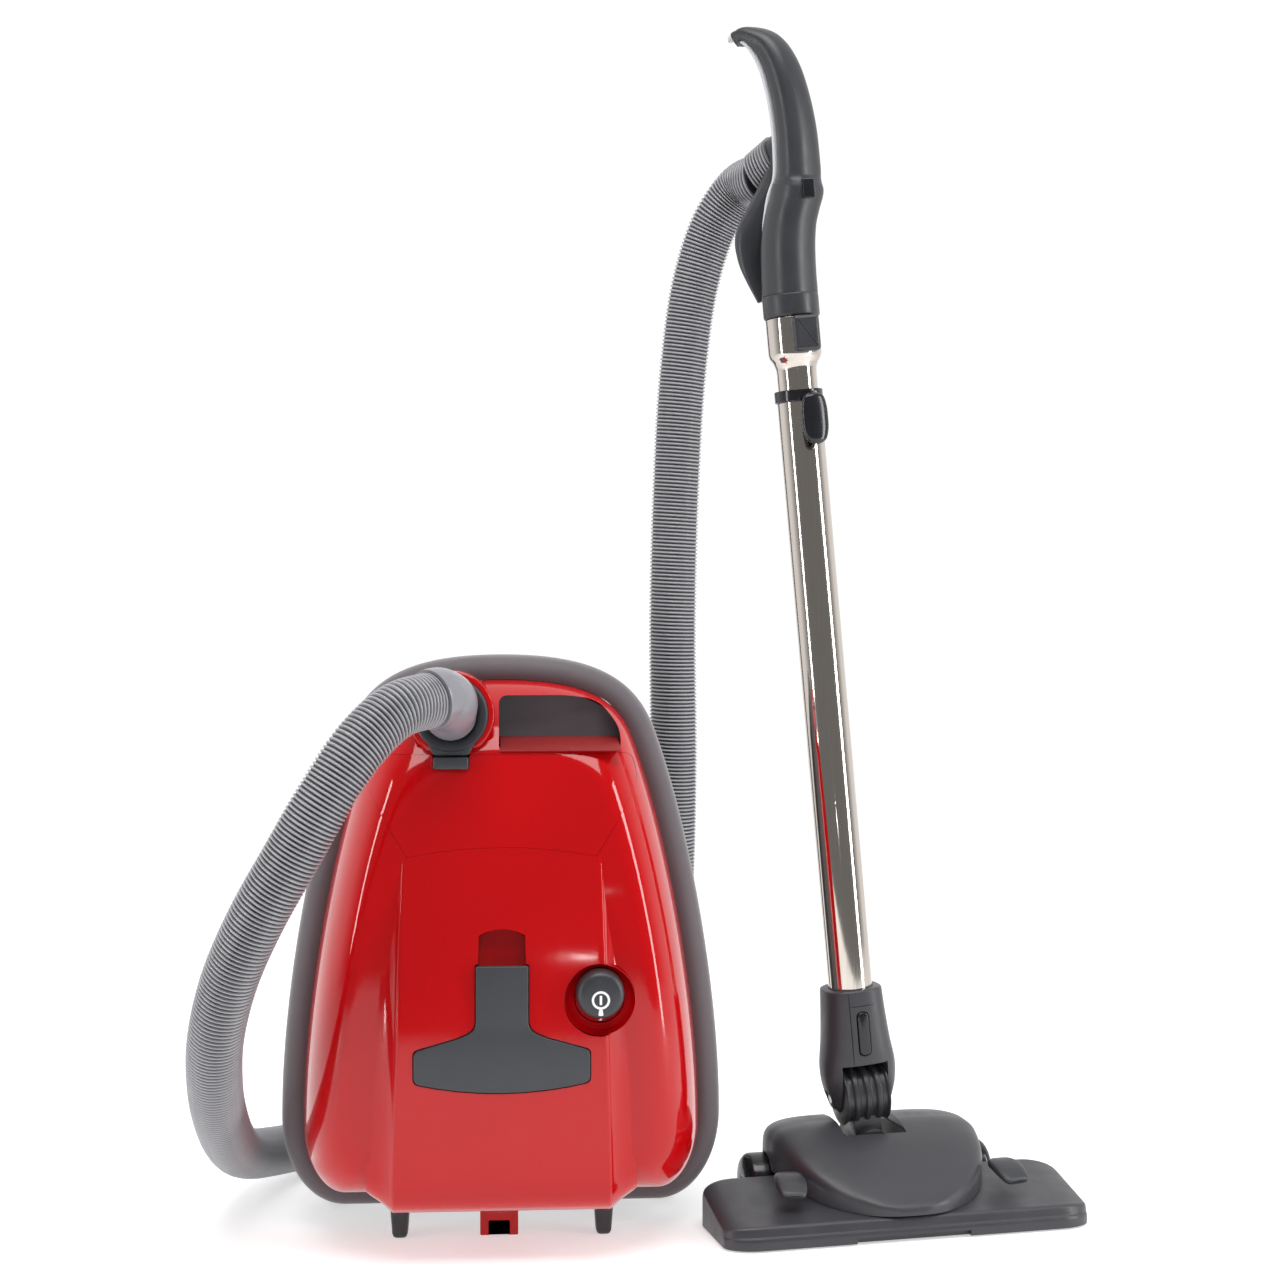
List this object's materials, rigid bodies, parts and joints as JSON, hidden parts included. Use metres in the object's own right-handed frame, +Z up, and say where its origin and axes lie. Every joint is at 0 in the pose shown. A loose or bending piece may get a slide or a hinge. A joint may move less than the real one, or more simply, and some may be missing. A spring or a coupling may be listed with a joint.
{
  "type": "canister vacuum cleaner",
  "caption": "Canister vacuum cleaner parked upright, with a bumper-belted casing, bag lid, ribbed hose, telescopic wand and wheeled floor head.",
  "frame": {"origin": "on the floor under the middle of the canister, floor head and wand together, measured without the hose", "axes": "+Z up, the canister's front faces -Y, +X to the right towards the floor head"},
  "size_m": [0.6129, 0.3899, 0.8404],
  "materials": {
    "gloss_red": "high-gloss moulded ABS",
    "belt_grey": "soft satin cover over foam",
    "belly_grey": "fine-textured moulding",
    "slate": "fine-textured satin moulding",
    "charcoal": "fine-textured satin moulding",
    "black": "satin moulding",
    "pale_grey": "smooth moulding",
    "hose_grey": "ribbed flexible wall",
    "chrome": "bright plated steel tube",
    "steel": "turned",
    "rubber": "moulded",
    "paper": "filter fleece",
    "foam": "open-cell filter mat",
    "board": "coated circuit board",
    "copper": "wound copper and steel",
    "bristle": "dense bristles"
  },
  "bodies": {
    "canister": {"upper_shell": "gloss_red", "lid_seal": "rubber", "handle_recess": "slate", "knob_well": "gloss_red", "airbelt": "belt_grey", "belly_shell": "belly_grey", "rear_axle_left": "steel", "rear_axle_right": "steel", "foot_left": "charcoal", "foot_right": "charcoal", "parking_bracket": "gloss_red", "casing_screw_1": "steel", "casing_screw_2": "steel", "bag_chamber": "belly_grey", "dust_bag": "paper", "inlet_collar": "slate", "pre_motor_filter": "foam", "motor_housing": "charcoal", "cord_reel_spindle": "steel", "cord_outlet": "rubber", "exhaust_filter": "foam", "control_board": "board", "hose": "hose_grey", "head_plate": "charcoal", "sole_plate": "steel", "head_hood": "charcoal", "roller_carrier": "charcoal", "roller_axle_left": "steel", "roller_axle_right": "steel"},
    "bag_lid": {"bag_lid": "gloss_red"},
    "lid_latch": {"lid_latch": "slate"},
    "filter_cover": {"filter_cover": "slate"},
    "power_knob": {"power_knob": "slate"},
    "rear_wheel_left": {"rear_wheel_left": "belly_grey"},
    "rear_wheel_right": {"rear_wheel_right": "belly_grey"},
    "caster": {"caster_fork": "belly_grey", "caster_axle": "steel"},
    "caster_wheel": {"caster_wheel": "rubber"},
    "hose_elbow": {"hose_elbow": "pale_grey"},
    "motor_rotor": {"motor_rotor": "copper"},
    "cord_reel": {"cord_reel": "charcoal"},
    "pedal_left": {"pedal_left": "charcoal"},
    "pedal_right": {"pedal_right": "charcoal"},
    "brush_strip_front": {"brush_strip_front": "bristle"},
    "brush_strip_rear": {"brush_strip_rear": "bristle"},
    "head_roller_left": {"head_roller_left": "black"},
    "head_roller_right": {"head_roller_right": "black"},
    "neck": {"neck_drum": "charcoal"},
    "wand_lower": {"neck_fork": "charcoal", "tilt_pin": "steel", "lower_tube": "chrome"},
    "neck_latch": {"neck_latch": "black"},
    "telescope_button": {"telescope_button": "black"},
    "wand_upper": {"upper_tube": "chrome", "handle_grip": "charcoal", "hose_stub": "charcoal", "grip_inlay": "pale_grey"},
    "hose_cuff": {"hose_cuff": "charcoal"},
    "airflow_slider": {"airflow_slider": "slate"},
    "handle_release": {"handle_release": "charcoal"}
  },
  "joints": [
    {"name": "bag_lid_hinge", "type": "hinge", "parent": "canister", "child": "bag_lid", "pos_m": [-0.1277, -0.08336, 0.2723], "axis": [1, 0, 0], "range_deg": [0, 75]},
    {"name": "lid_latch_press", "type": "slide", "parent": "bag_lid", "child": "lid_latch", "axis": [0, 1, 0], "range_m": [0, 0.0025], "stiffness_N_per_m": 400},
    {"name": "filter_cover_hinge", "type": "hinge", "parent": "canister", "child": "filter_cover", "pos_m": [-0.1277, -0.1004, 0.1153], "axis": [1, 0, 0], "range_deg": [0, 70]},
    {"name": "power_knob_turn", "type": "hinge", "parent": "canister", "child": "power_knob", "pos_m": [-0.0642, 0.017, 0.179], "axis": [0, 1, 0], "range_deg": [0, 270]},
    {"name": "rear_wheel_left_spin", "type": "hinge", "parent": "canister", "child": "rear_wheel_left", "pos_m": [-0.2452, 0.086, 0.036], "axis": [1, 0, 0], "continuous": true},
    {"name": "rear_wheel_right_spin", "type": "hinge", "parent": "canister", "child": "rear_wheel_right", "pos_m": [-0.0102, 0.086, 0.036], "axis": [1, 0, 0], "continuous": true},
    {"name": "caster_swivel", "type": "hinge", "parent": "canister", "child": "caster", "pos_m": [-0.1277, 0.017, 0.33], "axis": [0, 1, 0], "continuous": true},
    {"name": "caster_wheel_spin", "type": "hinge", "parent": "caster", "child": "caster_wheel", "pos_m": [-0.1277, 0.12062, 0.33], "axis": [1, 0, 0], "continuous": true},
    {"name": "hose_elbow_swivel", "type": "hinge", "parent": "canister", "child": "hose_elbow", "pos_m": [-0.1612, 0.017, 0.3585], "axis": [0, 1, 0], "range_deg": [-20, 20], "deforming": ["hose"]},
    {"name": "motor_spin", "type": "hinge", "parent": "canister", "child": "motor_rotor", "pos_m": [-0.1677, 0.032, 0], "axis": [0, 0, 1], "continuous": true},
    {"name": "cord_reel_spin", "type": "hinge", "parent": "canister", "child": "cord_reel", "pos_m": [-0.0607, 0.017, 0.102], "axis": [0, 1, 0], "continuous": true},
    {"name": "pedal_left_rock", "type": "hinge", "parent": "canister", "child": "pedal_left", "pos_m": [0.08656, -0.02639, 0.02975], "axis": [0.9848, 0.1736, 0], "range_deg": [0, 6]},
    {"name": "pedal_right_rock", "type": "hinge", "parent": "canister", "child": "pedal_right", "pos_m": [0.20474, -0.00555, 0.02975], "axis": [0.9848, 0.1736, 0], "range_deg": [-6, 0]},
    {"name": "brush_front_drop", "type": "slide", "parent": "canister", "child": "brush_strip_front", "axis": [0, 0, -1], "range_m": [0, 0.003]},
    {"name": "brush_rear_drop", "type": "slide", "parent": "canister", "child": "brush_strip_rear", "axis": [0, 0, -1], "range_m": [0, 0.003]},
    {"name": "head_roller_left_spin", "type": "hinge", "parent": "canister", "child": "head_roller_left", "pos_m": [0.05682, 0.03285, 0.02], "axis": [0.9848, 0.1736, 0], "continuous": true},
    {"name": "head_roller_right_spin", "type": "hinge", "parent": "canister", "child": "head_roller_right", "pos_m": [0.21242, 0.06028, 0.02], "axis": [0.9848, 0.1736, 0], "continuous": true},
    {"name": "neck_roll", "type": "hinge", "parent": "canister", "child": "neck", "pos_m": [0.13106, 0.03223, 0.05], "axis": [-0.1736, 0.9848, 0], "range_deg": [-6, 12], "deforming": ["hose"]},
    {"name": "neck_tilt", "type": "hinge", "parent": "neck", "child": "wand_lower", "pos_m": [0.12805, 0.0317, 0.08286], "axis": [-0.9806, -0.1729, -0.0924], "range_deg": [0, 65], "deforming": ["hose"]},
    {"name": "neck_latch_press", "type": "slide", "parent": "wand_lower", "child": "neck_latch", "axis": [-0.1736, 0.9848, 0], "range_m": [0, 0.002], "stiffness_N_per_m": 600},
    {"name": "telescope_button_press", "type": "slide", "parent": "wand_lower", "child": "telescope_button", "axis": [-0.3084, 0.9512, -0.0129], "range_m": [0, 0.002], "stiffness_N_per_m": 600},
    {"name": "telescope_slide", "type": "slide", "parent": "wand_lower", "child": "wand_upper", "axis": [-0.091, -0.016, 0.9957], "range_m": [0, 0.3], "deforming": ["hose"]},
    {"name": "hose_cuff_swivel", "type": "hinge", "parent": "wand_upper", "child": "hose_cuff", "pos_m": [0.07455, 0.05482, 0.75392], "axis": [0.608, -0.6505, 0.4552], "continuous": true, "deforming": ["hose"]},
    {"name": "airflow_slider_move", "type": "slide", "parent": "wand_upper", "child": "airflow_slider", "axis": [-0.091, -0.016, 0.9957], "range_m": [0, 0.01]},
    {"name": "handle_release_pull", "type": "slide", "parent": "wand_upper", "child": "handle_release", "axis": [0.091, 0.016, -0.9957], "range_m": [0, 0.003], "stiffness_N_per_m": 600}
  ],
  "couplings": [
    {"joint": "pedal_right_rock", "follows": "pedal_left_rock", "ratio": -1},
    {"joint": "brush_front_drop", "follows": "pedal_left_rock", "m_per_rad": 0.0286},
    {"joint": "brush_rear_drop", "follows": "pedal_left_rock", "m_per_rad": 0.0286}
  ]
}
